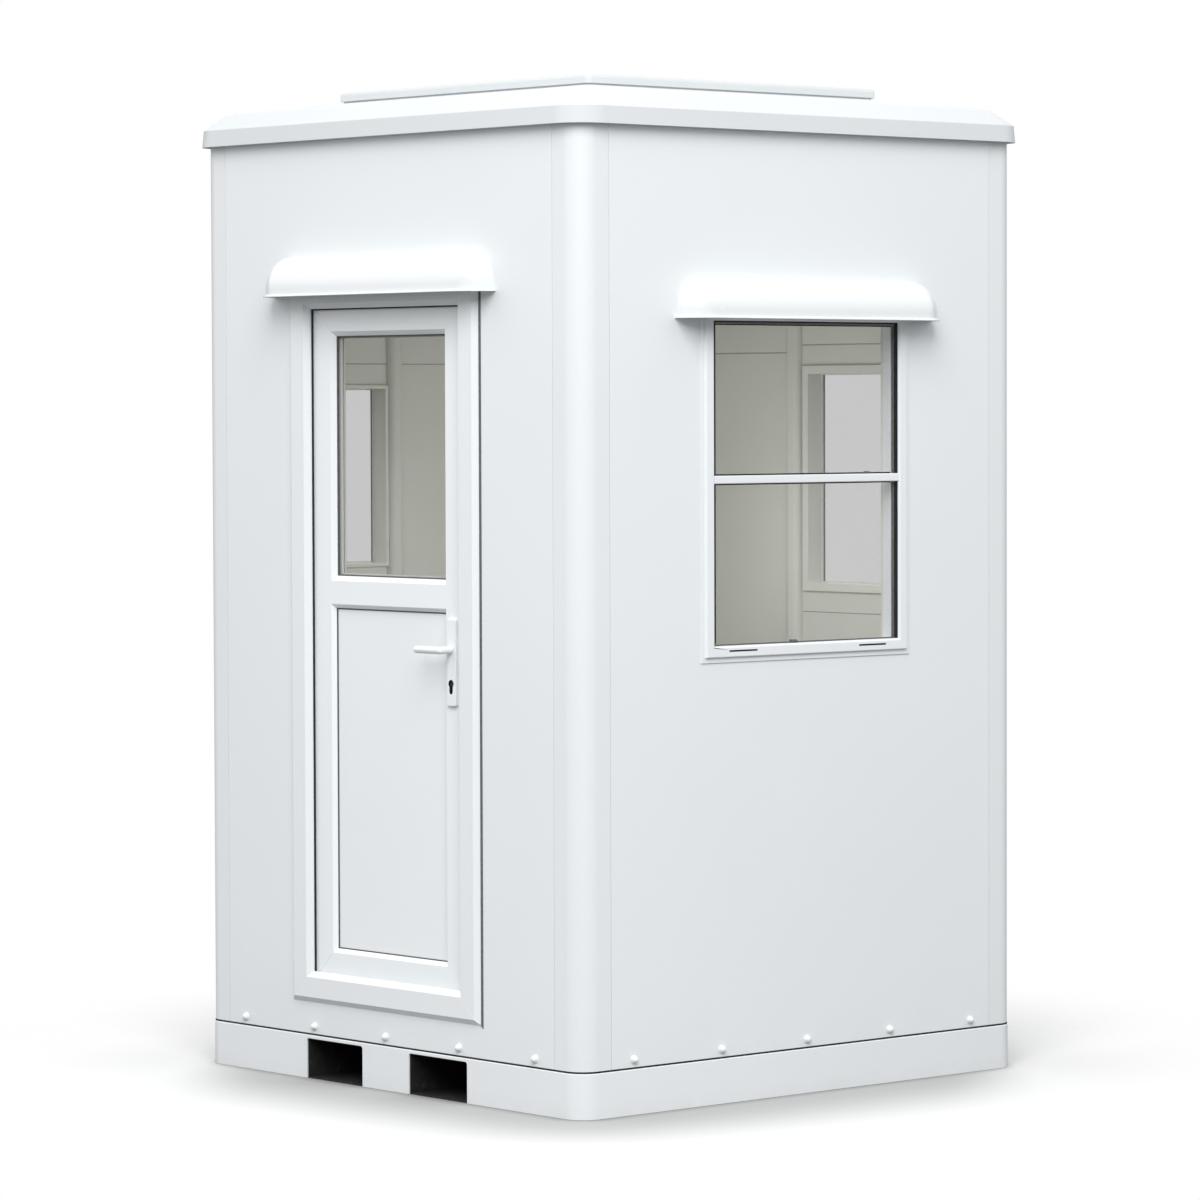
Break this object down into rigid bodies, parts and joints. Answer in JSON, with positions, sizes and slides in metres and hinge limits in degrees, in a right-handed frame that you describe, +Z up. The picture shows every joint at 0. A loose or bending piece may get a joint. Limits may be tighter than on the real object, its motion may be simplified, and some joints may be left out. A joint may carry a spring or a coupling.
{
  "type": "security guard booth",
  "caption": "Square white guard booth with a hinged glazed door, hooded windows, rounded corner posts, shallow moulded roof and forklift pockets in its base.",
  "frame": {"origin": "on the ground under the middle of the booth", "axes": "+Z up, the door wall faces -Y, the large window faces +X"},
  "size_m": [1.656, 1.656, 2.541],
  "materials": {
    "wall_panel": "satin white coated steel skin",
    "corner_post": "satin white, rounded",
    "base_paint": "white painted steel",
    "joint_seal": "matt black joint",
    "pocket_steel": "black primed steel",
    "floor_covering": "grey sheet flooring",
    "ceiling": "matt white",
    "moulded_shell": "white gel coat",
    "glazing": "clear float glass",
    "window_plastic": "smooth white plastic profile",
    "infill_panel": "smooth white sheet",
    "handle_paint": "white powder coat",
    "hinge_paint": "white powder coat",
    "lock_metal": "dark satin metal"
  },
  "bodies": {
    "booth": {"back_wall": "wall_panel", "back_window_frame": "window_plastic", "back_window_hood": "moulded_shell", "back_window_pane": "glazing", "base_back_rail": "base_paint", "base_front_rail": "base_paint", "base_joint_sheet": "joint_seal", "base_left_rail": "base_paint", "base_right_rail": "base_paint", "ceiling_panel": "ceiling", "corner_post_back_left": "corner_post", "corner_post_back_right": "corner_post", "corner_post_front_left": "corner_post", "corner_post_front_right": "corner_post", "door_frame_head": "window_plastic", "door_frame_left_jamb": "window_plastic", "door_frame_right_jamb": "window_plastic", "door_frame_threshold": "window_plastic", "door_hood": "moulded_shell", "floor_panel": "floor_covering", "fork_pockets": "pocket_steel", "front_wall_left": "wall_panel", "front_wall_over_door": "wall_panel", "front_wall_right": "wall_panel", "front_wall_under_door": "wall_panel", "hinge_frame_halves": "hinge_paint", "inner_cover_strips": "wall_panel", "left_wall": "wall_panel", "left_window_frame": "window_plastic", "left_window_hood": "moulded_shell", "left_window_pane": "glazing", "right_wall": "wall_panel", "right_window_bar": "window_plastic", "right_window_frame": "window_plastic", "right_window_hood": "moulded_shell", "right_window_panes": "glazing", "roof_cap": "moulded_shell", "roof_top_panel": "moulded_shell"},
    "door": {"door_hinge_stile": "window_plastic", "door_lock_stile": "window_plastic", "door_top_rail": "window_plastic", "door_middle_rail": "window_plastic", "door_bottom_rail": "window_plastic", "door_glazing": "glazing", "door_panel": "infill_panel", "handle_plates": "handle_paint", "lock_cylinder": "lock_metal", "hinge_leaf_halves": "hinge_paint"},
    "lever": {"door_lever": "handle_paint"}
  },
  "joints": [
    {"name": "door_swing", "type": "hinge", "parent": "booth", "child": "door", "pos_m": [-0.314, -0.676, 1.125], "axis": [0, 0, 1], "range_deg": [0, 95]},
    {"name": "lever_turn", "type": "hinge", "parent": "door", "child": "lever", "pos_m": [0.259, -0.712, 1.12], "axis": [0, -1, 0], "range_deg": [0, 40], "stiffness_Nm_per_rad": 2, "springref_deg": -28.65}
  ]
}
